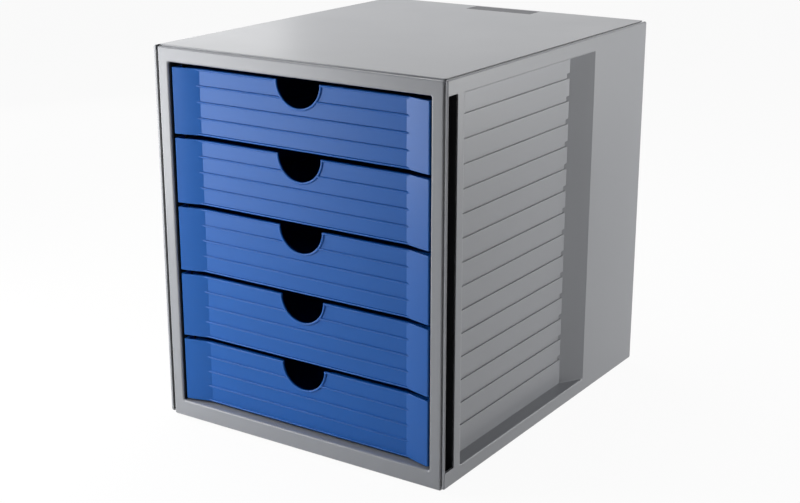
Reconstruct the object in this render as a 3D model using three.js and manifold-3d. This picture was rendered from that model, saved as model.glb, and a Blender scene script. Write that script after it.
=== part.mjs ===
// Desktop file drawer: a closed housing for A4 paper with five sliding drawers.
// Millimetres, +Z up. The origin lies under the middle of the housing, on the surface that
// the feet stand on; the drawers face -Y and +X is to the right of someone facing them.

import * as THREE from 'three';
import { mergeVertices } from 'three/addons/utils/BufferGeometryUtils.js';
import Module from 'manifold-3d';

const wasm = await Module();
wasm.setup();

// Whole object
const housingWidth = 275;
const housingDepth = 330;
const overallHeight = 320;
const footStand = 3; // height of the base above the surface
const drawerCount = 5;
const fitGap = 0.3; // clearance where one piece seats on another
const overrun = 1; // how far a cut runs past the material
const arcSteps = 4; // facets in a small rounded edge

// Side panels
const sidePlate = 2;
const sideGroove = 1.5; // open groove between a side panel and the shell inside it
const sideTopDrop = 0.5; // how far a side panel stays below the top
const sideCorner = 2.5;
const sideEdgeRound = 0.8;
const sideFlange = 2;
const sideFlangeReach = 9.5;
const sideFlangeMargin = 7.5; // from the panel's top and bottom edges to its flanges
const sideRearFlangeMargin = 3.5;
const slotFront = 0.9; // width of the web in front of the slot
const slotWidth = 12.5;
const slotMarginBelow = 13.5;
const slotMarginAbove = 11.5;
const slotCorner = 1;

// Recess in each side panel
const recessOffset = 10.1; // from the slot to the recess
const recessLength = 206;
const recessMarginBelow = 12.4;
const recessMarginAbove = 12.5;
const recessDepth = 11.5;
const recessWall = 2;
const recessCorner = 3;
const recessFloorCorner = 2;
const recessDraft = 1;
const recessRearSlope = 20.5; // run of the slanted rear wall
const recessEdgeRound = 1.2;
const recessEdgeShares = [[0, 1 / 2], [1 / 3, 1 / 6], [1, 0]]; // outward and in depth, of that rounding
const recessGrooveCount = 14;
const recessGroovePitch = 19;
const recessGrooveHeight = 4.6;
const recessGrooveDepth = 1;
const recessGrooveStart = 23; // from the recess's lower edge to the lowest groove

// Front frame
const jambWidth = 10.5;
const frameThickness = 2.5;
const frameRound = 1.6;
const frameTopDrop = 1.3; // how far the frame stays below the top
const headerHeight = 11.7;
const sillHeight = 14.5;
const openingChamfer = 1.1;
const frameFlange = 2;
const frameFlangeDepth = 10.5;

// Top panel and base panel
const topLip = 1.5;
const topSeam = 0.5; // open seam between the front frame and the top panel behind it
const topSlab = 2.5;
const topCorner = 2.2;
const topEdgeRound = 0.6;
const baseLip = 1.5;
const baseSlab = 2;
const baseCorner = 2.5;
const slabInset = 2.3; // from the lip's edge to the thicker slab inside it

// Plain plate let into the top panel
const plateLength = 66;
const plateDepth = 19;
const plateThickness = 0.8;
const plateBed = 0.2;
const plateRearMargin = 3.5;
const plateCorner = 0.8;

// Rear panel
const rearThickness = 2.5;
const rearFieldMargin = 22;
const rearFieldDepth = 1;
const rearFieldCorner = 8;

// Feet
const footDiameter = 16;
const footSocketDepth = 1.5;
const footMargin = 24; // from the housing's sides to the middle of a foot
const footRound = 1.4;
const footFacets = 40;

// Drawer fronts
const drawerSideGap = 2;
const drawerGap = 3.6; // between one front and the next
const bottomGap = 2;
const topGap = 4.1;
const frontSetBack = 2; // from the frame's face to the ends of a front
const hollowDepth = 6; // how far the middle of a front lies behind its ends
const hollowEndWidth = 24; // width of the sloping zone at each end
const endBulge = 0.7; // swelling of the sloping zones
const frontBody = 4;
const frontWall = 3;
const frontEndRound = 1.3;
const beadCount = 5;
const beadHeight = 1.8;
const beadProud = 1;
const notchRadius = 20.5;
const notchRim = 2;
const notchFacets = 48;
const tongueWidth = 12;
const tongueThickness = 2;
const tongueReach = 4.6;
const tongueOffset = 70;

// Drawer trays and the walls that carry them
const traySideGap = 2.7; // between a tray and the runner walls
const trayWall = 2;
const trayRise = 1; // from the front's lower edge to the tray's underside
const trayDrop = 2; // from the front's upper edge to the tray's rim
const trayRearGap = 9; // between a tray and the rear panel
const lugSideGap = 0.5; // between a lug and the runner wall
const lugLength = 6;
const lugHeight = 12;
const lugRise = 10;
const lugRearMargin = 42.2; // from a lug to the tray's rear
const runnerPlate = 2;
const runnerReach = 7;
const runnerThickness = 3;
const runnerRearGap = 2;
const webThickness = 2;
const grooveLipSetBack = 0.6; // from the frame's face to the lip that closes the groove beside it
const grooveLipThickness = 1.2;
const webOffset = 2.6; // from the slot to the web that closes the space behind it
const stopRibSideGap = 0.9; // between a stop rib and the tray
const stopRibLength = 2;
const stopRibHeight = 20;
const stopRibRise = 6;

// Places that follow from the sizes above
const front = -housingDepth / 2;
const rear = housingDepth / 2;
const sideFace = housingWidth / 2;
const sideInner = sideFace - sidePlate;
const shellSide = sideInner - sideGroove;
const shellFloor = footStand + baseLip + fitGap;
const sideTop = overallHeight - sideTopDrop;
const topLipUnder = overallHeight - topLip;
const topSlabUnder = topLipUnder - topSlab;
const baseSlabTop = footStand + baseLip + baseSlab;
const frameTop = overallHeight - frameTopDrop;
const topPanelFront = front + frameThickness + topSeam;
const basePanelFront = front + frameThickness + fitGap;
const openingHalf = shellSide - jambWidth;
const openingBottom = footStand + sillHeight;
const openingTop = frameTop - headerHeight;
const frontHalf = openingHalf - drawerSideGap;
const drawerSpace = openingTop - openingBottom - bottomGap - topGap;
const frontHeight = (drawerSpace - (drawerCount - 1) * drawerGap) / drawerCount;
const drawerPitch = frontHeight + drawerGap;
const frontEndFace = front + frontSetBack;
const frontFlatFace = frontEndFace + hollowDepth;
const frontBack = frontFlatFace + frontBody;
const trayFront = frontBack + fitGap;
const rearInner = rear - rearThickness;
const trayRear = rearInner - trayRearGap;
const trayHeight = frontHeight - trayRise - trayDrop;
const recessFloor = sideFace - recessDepth;
const runnerOuter = recessFloor - recessWall - fitGap;
const runnerInner = runnerOuter - runnerPlate;
const trayHalf = runnerInner - traySideGap;
const slotNear = front + slotFront;
const slotFar = slotNear + slotWidth;
const webFront = slotFar + webOffset;
const webRear = webFront + webThickness;
const stopFace = webRear + stopRibLength;
const lugFront = trayRear - lugRearMargin - lugLength;

// Geometry helpers

// A closed outline with rounded corners, counter-clockwise, as points in the plane.
function roundedOutline(left, right, bottom, top, radius, steps = arcSteps) {
  const corners = [
    [right - radius, bottom + radius, -Math.PI / 2],
    [right - radius, top - radius, 0],
    [left + radius, top - radius, Math.PI / 2],
    [left + radius, bottom + radius, Math.PI],
  ];
  return corners.flatMap(([centreU, centreV, start]) =>
    Array.from({ length: steps + 1 }, (_, step) => {
      const angle = start + (Math.PI / 2) * (step / steps);
      return new THREE.Vector2(centreU + radius * Math.cos(angle), centreV + radius * Math.sin(angle));
    }),
  );
}

// A solid through a stack of like outlines, each at its own height along local Z.
function stackGeometry(layers) {
  const count = layers[0].outline.length;
  const positions = layers.flatMap(({ outline, at }) => outline.flatMap((point) => [point.x, point.y, at]));
  const indices = [];
  for (let layer = 0; layer < layers.length - 1; layer += 1) {
    for (let step = 0; step < count; step += 1) {
      const next = (step + 1) % count;
      const low = layer * count;
      const high = low + count;
      indices.push(low + step, low + next, high + next, low + step, high + next, high + step);
    }
  }
  const last = (layers.length - 1) * count;
  for (const [a, b, c] of THREE.ShapeUtils.triangulateShape(layers[0].outline, [])) {
    indices.push(a, c, b);
  }
  for (const [a, b, c] of THREE.ShapeUtils.triangulateShape(layers[layers.length - 1].outline, [])) {
    indices.push(last + a, last + b, last + c);
  }
  const geometry = new THREE.BufferGeometry();
  geometry.setAttribute('position', new THREE.Float32BufferAttribute(positions, 3));
  geometry.setIndex(indices);
  return geometry;
}

// Turns a stack that was drawn as a front view (X, Z), so that its layers run towards -Y.
function facingFront(geometry) {
  return geometry.rotateX(Math.PI / 2);
}

// Turns a stack that was drawn as a side view (Y, Z), so that its layers run towards +X.
function facingSide(geometry) {
  return geometry.rotateX(Math.PI / 2).rotateZ(Math.PI / 2);
}

function boxGeometry(left, right, near, far, bottom, top) {
  const geometry = new THREE.BoxGeometry(right - left, far - near, top - bottom);
  return geometry.translate((left + right) / 2, (near + far) / 2, (bottom + top) / 2);
}

// The layers of a plate whose upper edge is rounded: insets and heights along a quarter arc.
function roundedEdgeLayers(bottom, top, radius, outlineAt) {
  const layers = [{ outline: outlineAt(0), at: bottom }];
  for (let step = 0; step <= arcSteps; step += 1) {
    const angle = (Math.PI / 2) * (step / arcSteps);
    const inset = radius * (1 - Math.cos(angle));
    layers.push({ outline: outlineAt(inset), at: top - radius + radius * Math.sin(angle) });
  }
  return layers;
}

function solidOf(geometry) {
  const bare = geometry.clone();
  bare.deleteAttribute('normal');
  bare.deleteAttribute('uv');
  const merged = mergeVertices(bare);
  const vertProperties = new Float32Array(merged.attributes.position.array);
  const triVerts = new Uint32Array(merged.index.array);
  return new wasm.Manifold(new wasm.Mesh({ numProp: 3, vertProperties, triVerts }));
}

function boxSolid(...sides) {
  return solidOf(boxGeometry(...sides));
}

function geometryOf(solid) {
  const mesh = solid.getMesh();
  const geometry = new THREE.BufferGeometry();
  geometry.setAttribute('position', new THREE.BufferAttribute(mesh.vertProperties, 3));
  geometry.setIndex(new THREE.BufferAttribute(mesh.triVerts, 1));
  return geometry;
}

// The same solid on the other side of the housing's middle plane.
function mirrored(geometry) {
  const copy = geometry.clone().scale(-1, 1, 1);
  const index = copy.index.array;
  for (let corner = 0; corner < index.length; corner += 3) {
    [index[corner], index[corner + 1]] = [index[corner + 1], index[corner]];
  }
  return copy;
}

function pieceOf(name, geometry, material) {
  const faceted = geometry.toNonIndexed();
  faceted.computeVertexNormals();
  const piece = new THREE.Mesh(faceted, material.clone());
  piece.name = name;
  return piece;
}

// Materials
const lightGrey = new THREE.MeshStandardMaterial({ color: 0xb9bbbf, roughness: 0.5, metalness: 0 });
const blue = new THREE.MeshStandardMaterial({ color: 0x3f66b0, roughness: 0.42, metalness: 0 });
const black = new THREE.MeshStandardMaterial({ color: 0x17181b, roughness: 0.6, metalness: 0 });
const darkGrey = new THREE.MeshStandardMaterial({ color: 0x55575c, roughness: 0.45, metalness: 0 });
const rubber = new THREE.MeshStandardMaterial({ color: 0x1d1d1f, roughness: 0.9, metalness: 0 });

// Front frame: a rounded face round the opening, with a flange behind its sill and its header.
function makeFrontFrame() {
  const faceOutline = (inset) =>
    roundedOutline(-shellSide + inset, shellSide - inset, footStand + inset, frameTop - inset,
      frameRound - inset / 2);
  const face = facingFront(stackGeometry(
    roundedEdgeLayers(-front - frameThickness, -front, frameRound, faceOutline)));
  const openingOutline = (flare) => roundedOutline(-openingHalf - flare, openingHalf + flare,
    openingBottom - flare, openingTop + flare, openingChamfer);
  const opening = facingFront(stackGeometry([
    { outline: openingOutline(0), at: -front - frameThickness - overrun },
    { outline: openingOutline(0), at: -front - openingChamfer },
    { outline: openingOutline(openingChamfer + overrun), at: -front + overrun },
  ]));
  const flangeSides = [-openingHalf, openingHalf, front + frameThickness / 2, front + frameFlangeDepth];
  const sill = boxSolid(...flangeSides, openingBottom - frameFlange, openingBottom);
  const header = boxSolid(...flangeSides, openingTop, openingTop + frameFlange);
  return geometryOf(solidOf(face).subtract(solidOf(opening)).add(sill).add(header));
}

// Top panel: a thin lip over the shell, a thicker slab inside it and the plate's pocket.
function makeTopPanel() {
  const lipOutline = (inset) =>
    roundedOutline(-shellSide + inset, shellSide - inset, topPanelFront + inset, rear - inset,
      topCorner - inset / 2);
  const lip = stackGeometry(roundedEdgeLayers(topLipUnder, overallHeight, topEdgeRound, lipOutline));
  const slabHalf = shellSide - slabInset;
  const slab = boxSolid(-slabHalf, slabHalf, topPanelFront + fitGap, rearInner - fitGap,
    topSlabUnder, topLipUnder + topLip / 2);
  const pocket = stackGeometry([
    { outline: plateOutline(fitGap), at: overallHeight - plateThickness - plateBed },
    { outline: plateOutline(fitGap), at: overallHeight + overrun },
  ]);
  return geometryOf(solidOf(lip).add(slab).subtract(solidOf(pocket)));
}

function plateOutline(growth) {
  const plateRear = rear - plateRearMargin;
  return roundedOutline(-plateLength / 2 - growth, plateLength / 2 + growth,
    plateRear - plateDepth - growth, plateRear + growth, plateCorner);
}

function makeTopPlate() {
  return stackGeometry([
    { outline: plateOutline(0), at: overallHeight - plateThickness },
    { outline: plateOutline(0), at: overallHeight },
  ]);
}

// Base panel: a lip under the shell, a slab inside it and a socket for each foot.
function makeBasePanel() {
  const lipOutline = roundedOutline(-shellSide, shellSide, basePanelFront, rear - fitGap, baseCorner);
  const lip = stackGeometry([
    { outline: lipOutline, at: footStand },
    { outline: lipOutline, at: footStand + baseLip },
  ]);
  const slabHalf = shellSide - slabInset;
  const slab = boxSolid(-slabHalf, slabHalf, basePanelFront + fitGap, rearInner - fitGap,
    footStand + baseLip / 2, baseSlabTop);
  let base = solidOf(lip).add(slab);
  for (const [x, y] of footPlaces()) {
    const socketRadius = footDiameter / 2 + fitGap;
    const socketHeight = footSocketDepth + overrun;
    const socket = new THREE.CylinderGeometry(socketRadius, socketRadius, socketHeight, footFacets);
    socket.rotateX(Math.PI / 2).translate(x, y, footStand - overrun + socketHeight / 2);
    base = base.subtract(solidOf(socket));
  }
  return geometryOf(base);
}

function footPlaces() {
  const x = sideFace - footMargin;
  const y = rear - footMargin;
  return [[-x, -y], [x, -y], [-x, y], [x, y]];
}

// Foot: a rubber disc with a rounded lower edge.
function makeFoot(x, y) {
  const radius = footDiameter / 2;
  const profile = [new THREE.Vector2(0, 0)];
  for (let step = 0; step <= arcSteps; step += 1) {
    const angle = (Math.PI / 2) * (step / arcSteps);
    profile.push(new THREE.Vector2(
      radius - footRound + footRound * Math.sin(angle), footRound - footRound * Math.cos(angle)));
  }
  const footTop = footStand + footSocketDepth - fitGap;
  profile.push(new THREE.Vector2(radius, footTop), new THREE.Vector2(0, footTop));
  return new THREE.LatheGeometry(profile, footFacets).rotateX(Math.PI / 2).translate(x, y, 0);
}

// Right side panel: an outer plate, the recess pressed into it, the slot and the inner flanges.
function makeSidePanel() {
  const plateOutlineAt = (inset) =>
    roundedOutline(front + inset, rear - inset, shellFloor + inset, sideTop - inset, sideCorner - inset / 2);
  const plate = facingSide(stackGeometry(
    roundedEdgeLayers(sideInner, sideFace, sideEdgeRound, plateOutlineAt)));

  const bottom = shellFloor + recessMarginBelow;
  const top = sideTop - recessMarginAbove;
  const near = slotFar + recessOffset;
  const far = near + recessLength;
  const tubOutline = (draft, slope, growth, radius) =>
    roundedOutline(near + draft - growth, far - slope + growth, bottom + draft - growth,
      top - draft + growth, radius);
  const tubFloor = (growth) => tubOutline(recessDraft, recessRearSlope, growth, recessFloorCorner);
  const tub = facingSide(stackGeometry([
    { outline: tubFloor(recessWall), at: recessFloor - recessWall },
    { outline: tubOutline(0, 0, recessWall, recessCorner), at: sideInner + sidePlate / 2 },
  ]));
  const hollow = solidOf(facingSide(stackGeometry([
    { outline: tubFloor(0), at: recessFloor },
    ...recessEdgeShares.map(([outward, depth]) => ({
      outline: tubOutline(0, 0, recessEdgeRound * outward, recessCorner),
      at: sideFace - recessEdgeRound * depth,
    })),
    { outline: tubOutline(0, 0, recessEdgeRound, recessCorner), at: sideFace + overrun },
  ])));
  // The grooves end where the recess's walls would reach if they went on to the grooves' floor.
  const grooveReach = 1 + recessGrooveDepth / recessDepth;
  const grooveNear = near + recessDraft * grooveReach;
  const grooveFar = far - recessRearSlope * grooveReach;
  let groovedHollow = hollow;
  for (let groove = 0; groove < recessGrooveCount; groove += 1) {
    const grooveBottom = bottom + recessGrooveStart + groove * recessGroovePitch;
    groovedHollow = groovedHollow.add(boxSolid(recessFloor - recessGrooveDepth,
      recessFloor + recessGrooveDepth, grooveNear, grooveFar,
      grooveBottom, grooveBottom + recessGrooveHeight));
  }

  const flangeInner = sideInner - sideFlangeReach;
  const flangeNear = webRear + fitGap;
  const flangeFar = rear - sideRearFlangeMargin;
  const flangeTop = sideTop - sideFlangeMargin;
  const flangeBottom = shellFloor + sideFlangeMargin;
  const flangeOuter = sideInner + sidePlate / 2;
  const flangeAt = (start, end, low, high) => boxSolid(flangeInner, flangeOuter, start, end, low, high);
  const topFlange = flangeAt(flangeNear, flangeFar, flangeTop - sideFlange, flangeTop);
  const lowFlange = flangeAt(flangeNear, flangeFar, flangeBottom, flangeBottom + sideFlange);
  const rearFlange = flangeAt(flangeFar - sideFlange, flangeFar, flangeBottom, flangeTop);

  const slotOutline = roundedOutline(slotNear, slotFar,
    shellFloor + slotMarginBelow, sideTop - slotMarginAbove, slotCorner);
  const slot = facingSide(stackGeometry([
    { outline: slotOutline, at: sideInner - overrun },
    { outline: slotOutline, at: sideFace + overrun },
  ]));
  return geometryOf(solidOf(plate).add(solidOf(tub)).add(topFlange).add(lowFlange).add(rearFlange)
    .subtract(groovedHollow).subtract(solidOf(slot)));
}

// Right runner wall: an upright wall with a web behind the slot, a lip that closes the groove
// beside the frame, a runner under each drawer, one guide above the top drawer and a stop rib for
// each drawer.
function makeRunnerWall() {
  const wallBottom = baseSlabTop + fitGap;
  const wallTop = topSlabUnder - fitGap;
  const nearInner = openingHalf + fitGap;
  const nearOuter = nearInner + runnerPlate;
  const wallFront = front + frameThickness + fitGap;
  const lipRear = wallFront + grooveLipThickness;
  const outline = [
    [nearInner, wallFront],
    [shellSide + fitGap, wallFront],
    [shellSide + fitGap, front + grooveLipSetBack],
    [sideInner - fitGap, front + grooveLipSetBack],
    [sideInner - fitGap, lipRear],
    [nearOuter, lipRear],
    [nearOuter, webFront],
    [sideInner - fitGap, webFront],
    [sideInner - fitGap, webRear],
    [runnerOuter, webRear],
    [runnerOuter, rearInner - fitGap],
    [runnerInner, rearInner - fitGap],
    [runnerInner, webFront],
    [nearInner, webFront],
  ].map(([x, y]) => new THREE.Vector2(x, y));
  let wall = solidOf(stackGeometry([{ outline, at: wallBottom }, { outline, at: wallTop }]));
  const runnerRear = rearInner - runnerRearGap;
  for (let level = 0; level <= drawerCount; level += 1) {
    const runnerTop = frontBottomOf(level) + trayRise - fitGap;
    wall = wall.add(boxSolid(runnerInner - runnerReach, runnerInner + runnerPlate / 2,
      webRear, runnerRear, runnerTop - runnerThickness, runnerTop));
    if (level < drawerCount) {
      wall = wall.add(boxSolid(trayHalf + stopRibSideGap, runnerInner + runnerPlate / 2,
        webRear, stopFace, runnerTop + stopRibRise, runnerTop + stopRibRise + stopRibHeight));
    }
  }
  return geometryOf(wall);
}

function makeRearPanel() {
  const panelTop = topLipUnder - fitGap;
  const panelOutline = roundedOutline(-shellSide, shellSide, shellFloor, panelTop, topCorner);
  const fieldOutline = roundedOutline(-shellSide + rearFieldMargin, shellSide - rearFieldMargin,
    shellFloor + rearFieldMargin, panelTop - rearFieldMargin, rearFieldCorner);
  const panel = facingFront(stackGeometry([
    { outline: panelOutline, at: -rear },
    { outline: panelOutline, at: -rearInner },
  ]));
  const field = facingFront(stackGeometry([
    { outline: fieldOutline, at: -rear - overrun },
    { outline: fieldOutline, at: -rear + rearFieldDepth },
  ]));
  return geometryOf(solidOf(panel).subtract(solidOf(field)));
}

// Height of the lower edge of a drawer's front, counted from the lowest drawer.
function frontBottomOf(level) {
  return openingBottom + bottomGap + level * drawerPitch;
}

// Half of the front's plan outline, from its middle to its right end: the flat middle, then a
// gently swollen slope that comes forward to the rounded end.
function frontPlanHalf() {
  const flatHalf = frontHalf - hollowEndWidth;
  const points = [new THREE.Vector2(flatHalf, frontFlatFace)];
  const slopeWidth = hollowEndWidth - frontEndRound;
  const slopeSteps = 2 * arcSteps;
  for (let step = 1; step <= slopeSteps; step += 1) {
    const along = step / slopeSteps;
    const swelling = endBulge * 4 * along * (1 - along);
    points.push(new THREE.Vector2(flatHalf + slopeWidth * along,
      frontFlatFace - hollowDepth * along - swelling));
  }
  for (let step = 1; step <= arcSteps; step += 1) {
    const angle = (Math.PI / 2) * (step / arcSteps);
    points.push(new THREE.Vector2(frontHalf - frontEndRound + frontEndRound * Math.sin(angle),
      frontEndFace + frontEndRound - frontEndRound * Math.cos(angle)));
  }
  return points;
}

function notchSolid(radius, near, far, centreHeight) {
  const notch = new THREE.CylinderGeometry(radius, radius, far - near, notchFacets);
  return solidOf(notch.translate(0, (near + far) / 2, centreHeight));
}

function tongueSides(side, clearance) {
  const middle = side * tongueOffset;
  return [middle - tongueWidth / 2 - clearance, middle + tongueWidth / 2 + clearance];
}

// Drawer front: a hollowed face with fine beads, a half-round notch with a raised rim, a pocket
// behind each end and two tongues that clip through the tray.
function makeDrawerFront(level) {
  const bottom = frontBottomOf(level);
  const top = bottom + frontHeight;
  const half = frontPlanHalf();
  const outline = [
    ...half,
    new THREE.Vector2(frontHalf, frontBack),
    new THREE.Vector2(-frontHalf, frontBack),
    ...half.toReversed().map((point) => new THREE.Vector2(-point.x, point.y)),
  ];
  let body = solidOf(stackGeometry([{ outline, at: bottom }, { outline, at: top }]));

  const flatHalf = frontHalf - hollowEndWidth;
  const beadReach = frontHalf - frontEndRound;
  const beadPitch = (frontHeight - beadHeight) / (beadCount - 1);
  for (let bead = 0; bead < beadCount; bead += 1) {
    const beadMiddle = bottom + beadHeight / 2 + bead * beadPitch;
    const beadBody = solidOf(beadGeometry(beadReach, beadMiddle));
    body = body.add(beadBody);
  }
  const rimNear = frontFlatFace - beadProud;
  const rim = notchSolid(notchRadius + notchRim, rimNear, frontBack, top)
    .intersect(boxSolid(-flatHalf, flatHalf, rimNear, frontBack, bottom, top));
  body = body.add(rim);
  body = body.subtract(notchSolid(notchRadius, rimNear - overrun, frontBack + overrun, top));

  for (const side of [-1, 1]) {
    const pocket = solidOf(pocketGeometry(bottom, top));
    body = body.subtract(side > 0 ? pocket : solidOf(mirrored(pocketGeometry(bottom, top))));
    const [left, right] = tongueSides(side, 0);
    const middle = (bottom + top) / 2;
    body = body.add(boxSolid(left, right, frontBack - overrun, frontBack + tongueReach,
      middle - tongueThickness / 2, middle + tongueThickness / 2));
  }
  return geometryOf(body);
}

// One bead: a low half-round bar across the front, which runs out on the sloping ends.
function beadGeometry(reach, middle) {
  const radius = beadHeight / 2;
  const outline = [
    [frontFlatFace + frontWall / 2, middle - radius],
    [frontFlatFace, middle - radius],
    [frontFlatFace - beadProud * Math.SQRT1_2, middle - radius * Math.SQRT1_2],
    [frontFlatFace - beadProud, middle],
    [frontFlatFace - beadProud * Math.SQRT1_2, middle + radius * Math.SQRT1_2],
    [frontFlatFace, middle + radius],
    [frontFlatFace + frontWall / 2, middle + radius],
  ].map(([y, z]) => new THREE.Vector2(y, z)).toReversed();
  return facingSide(stackGeometry([{ outline, at: -reach }, { outline, at: reach }]));
}

// The pocket behind the right end, which leaves a wall behind the slope and at the end.
function pocketGeometry(bottom, top) {
  const flatHalf = frontHalf - hollowEndWidth;
  const slope = hollowDepth / (hollowEndWidth - frontEndRound);
  const pocketEnd = frontHalf - frontWall;
  const pocketFace = frontFlatFace + frontWall - slope * (pocketEnd - flatHalf);
  const outline = [
    [flatHalf, frontFlatFace + frontWall],
    [pocketEnd, pocketFace],
    [pocketEnd, frontBack + overrun],
    [flatHalf, frontBack + overrun],
  ].map(([x, y]) => new THREE.Vector2(x, y));
  return stackGeometry([
    { outline, at: bottom + frontWall },
    { outline, at: top - frontWall },
  ]);
}

// Drawer tray: an open box on the runners, with a lug at each side that meets the stop rib.
function makeDrawerTray(level) {
  const bottom = frontBottomOf(level) + trayRise;
  const top = bottom + trayHeight;
  let tray = boxSolid(-trayHalf, trayHalf, trayFront, trayRear, bottom, top)
    .subtract(boxSolid(-trayHalf + trayWall, trayHalf - trayWall, trayFront + trayWall,
      trayRear - trayWall, bottom + trayWall, top + overrun));
  const frontTop = frontBottomOf(level) + frontHeight;
  const wallEnd = trayFront + trayWall + overrun;
  tray = tray.subtract(notchSolid(notchRadius, trayFront - overrun, wallEnd, frontTop));
  const middle = frontBottomOf(level) + frontHeight / 2;
  for (const side of [-1, 1]) {
    const [left, right] = tongueSides(side, fitGap);
    tray = tray.subtract(boxSolid(left, right, trayFront - overrun, wallEnd,
      middle - tongueThickness / 2 - fitGap, middle + tongueThickness / 2 + fitGap));
    const lugInner = side * (trayHalf - trayWall / 2);
    const lugOuter = side * (runnerInner - lugSideGap);
    tray = tray.add(boxSolid(Math.min(lugInner, lugOuter), Math.max(lugInner, lugOuter),
      lugFront, lugFront + lugLength, bottom + lugRise, bottom + lugRise + lugHeight));
  }
  return geometryOf(tray);
}

// Assembly
const fileDrawer = new THREE.Group();
fileDrawer.name = 'desktop_file_drawer';
const housing = new THREE.Group();
housing.name = 'housing';
fileDrawer.add(housing);

const sidePanel = makeSidePanel();
const runnerWall = makeRunnerWall();
housing.add(
  pieceOf('front_frame', makeFrontFrame(), lightGrey),
  pieceOf('top_panel', makeTopPanel(), lightGrey),
  pieceOf('base_panel', makeBasePanel(), lightGrey),
  pieceOf('rear_panel', makeRearPanel(), lightGrey),
  pieceOf('right_side_panel', sidePanel, lightGrey),
  pieceOf('left_side_panel', mirrored(sidePanel), lightGrey),
  pieceOf('right_runner_wall', runnerWall, black),
  pieceOf('left_runner_wall', mirrored(runnerWall), black),
  pieceOf('top_plate', makeTopPlate(), darkGrey),
);
const footNames = ['foot_front_left', 'foot_front_right', 'foot_rear_left', 'foot_rear_right'];
footPlaces().forEach(([x, y], place) => {
  housing.add(pieceOf(footNames[place], makeFoot(x, y), rubber));
});

// Drawers are numbered from the top, as someone would count them.
for (let level = 0; level < drawerCount; level += 1) {
  const drawer = new THREE.Group();
  const number = drawerCount - level;
  drawer.name = `drawer_${number}`;
  drawer.add(
    pieceOf(`drawer_front_${number}`, makeDrawerFront(level), blue),
    pieceOf(`drawer_tray_${number}`, makeDrawerTray(level), blue),
  );
  fileDrawer.add(drawer);
}

export default fileDrawer;
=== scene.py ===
"""Desktop file drawer: the visual model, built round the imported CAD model.

Lengths are metres in the CAD model's own frame. The drawers face -Y, +X is to the right of
someone facing them, and the housing stands on Z = 0.
"""

import math

import bmesh
import bpy
from mathutils import Matrix, Vector


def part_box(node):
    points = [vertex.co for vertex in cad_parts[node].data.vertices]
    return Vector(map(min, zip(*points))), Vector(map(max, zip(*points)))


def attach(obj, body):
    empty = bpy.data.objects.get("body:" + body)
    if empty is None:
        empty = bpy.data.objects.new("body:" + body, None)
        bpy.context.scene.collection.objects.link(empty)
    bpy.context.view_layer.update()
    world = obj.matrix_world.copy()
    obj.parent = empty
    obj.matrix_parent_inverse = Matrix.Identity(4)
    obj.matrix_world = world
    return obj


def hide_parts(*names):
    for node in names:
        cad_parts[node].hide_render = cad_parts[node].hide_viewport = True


bl_info = {
    "name": "Desktop file drawer",
    "version": (1, 0, 0),
    "blender": (4, 5, 0),
    "location": "3D View > Sidebar > File drawer",
    "description": "Builds the housing, the drawers and the studio of a desktop file drawer",
    "category": "Add Mesh",
}

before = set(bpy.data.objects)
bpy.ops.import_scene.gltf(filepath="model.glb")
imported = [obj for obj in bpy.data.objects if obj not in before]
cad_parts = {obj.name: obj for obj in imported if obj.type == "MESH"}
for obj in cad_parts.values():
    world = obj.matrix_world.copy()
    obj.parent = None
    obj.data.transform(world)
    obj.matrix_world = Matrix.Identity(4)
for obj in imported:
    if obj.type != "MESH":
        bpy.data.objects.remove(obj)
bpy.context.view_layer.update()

MM = 0.001
TINY = 1e-6
ARC_STEPS = 6
DRAWERS = (1, 2, 3, 4, 5)
FEET = ("foot_front_left", "foot_front_right", "foot_rear_left", "foot_rear_right")
FOOT_STEPS = 48
NOTCH_STEPS = 96
# The seam between two pieces, and how far a cutter reaches past what it cuts.
SEAM = 0.3 * MM
PAST = 1 * MM
# How far a plastic's roughness strays from its mean. More of it shows as stains.
GLOSS_CHANGE = 0.015
# The backdrop darkens between these sines of the height above the horizon (20 and 50 degrees).
FADE_FROM, FADE_TO = 0.34, 0.77
WHITE = (1.0, 1.0, 1.0, 1.0)

# How a piece that is drawn flat, with its local Z towards the eye, is turned into its place.
FROM_ABOVE = Matrix.Identity(4)
FROM_FRONT = Matrix(((1, 0, 0, 0), (0, 0, -1, 0), (0, 1, 0, 0), (0, 0, 0, 1)))
FROM_REAR = Matrix(((-1, 0, 0, 0), (0, 0, 1, 0), (0, 1, 0, 0), (0, 0, 0, 1)))
FROM_RIGHT = Matrix(((0, 0, 1, 0), (1, 0, 0, 0), (0, 1, 0, 0), (0, 0, 0, 1)))
FROM_LEFT = Matrix(((0, 0, -1, 0), (1, 0, 0, 0), (0, 1, 0, 0), (0, 0, 0, 1)))


def from_hex(code):
    """The linear colour of an sRGB hex value."""
    channels = [int(code[start:start + 2], 16) / 255 for start in (1, 3, 5)]
    return [c / 12.92 if c <= 0.04045 else ((c + 0.055) / 1.055) ** 2.4 for c in channels]


def length(description, default):
    """A size that is shown in the scene's own unit of length."""
    return bpy.props.FloatProperty(
        description=description, default=default * MM, min=0, unit="LENGTH", precision=5)


def colour(description, code):
    """A colour that is written as an sRGB hex value."""
    return bpy.props.FloatVectorProperty(
        description=description, default=from_hex(code), subtype="COLOR", min=0, max=1)


def level(description, default, most=1.0):
    """A plain number from nought to its largest value."""
    return bpy.props.FloatProperty(description=description, default=default, min=0, max=most)


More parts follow.
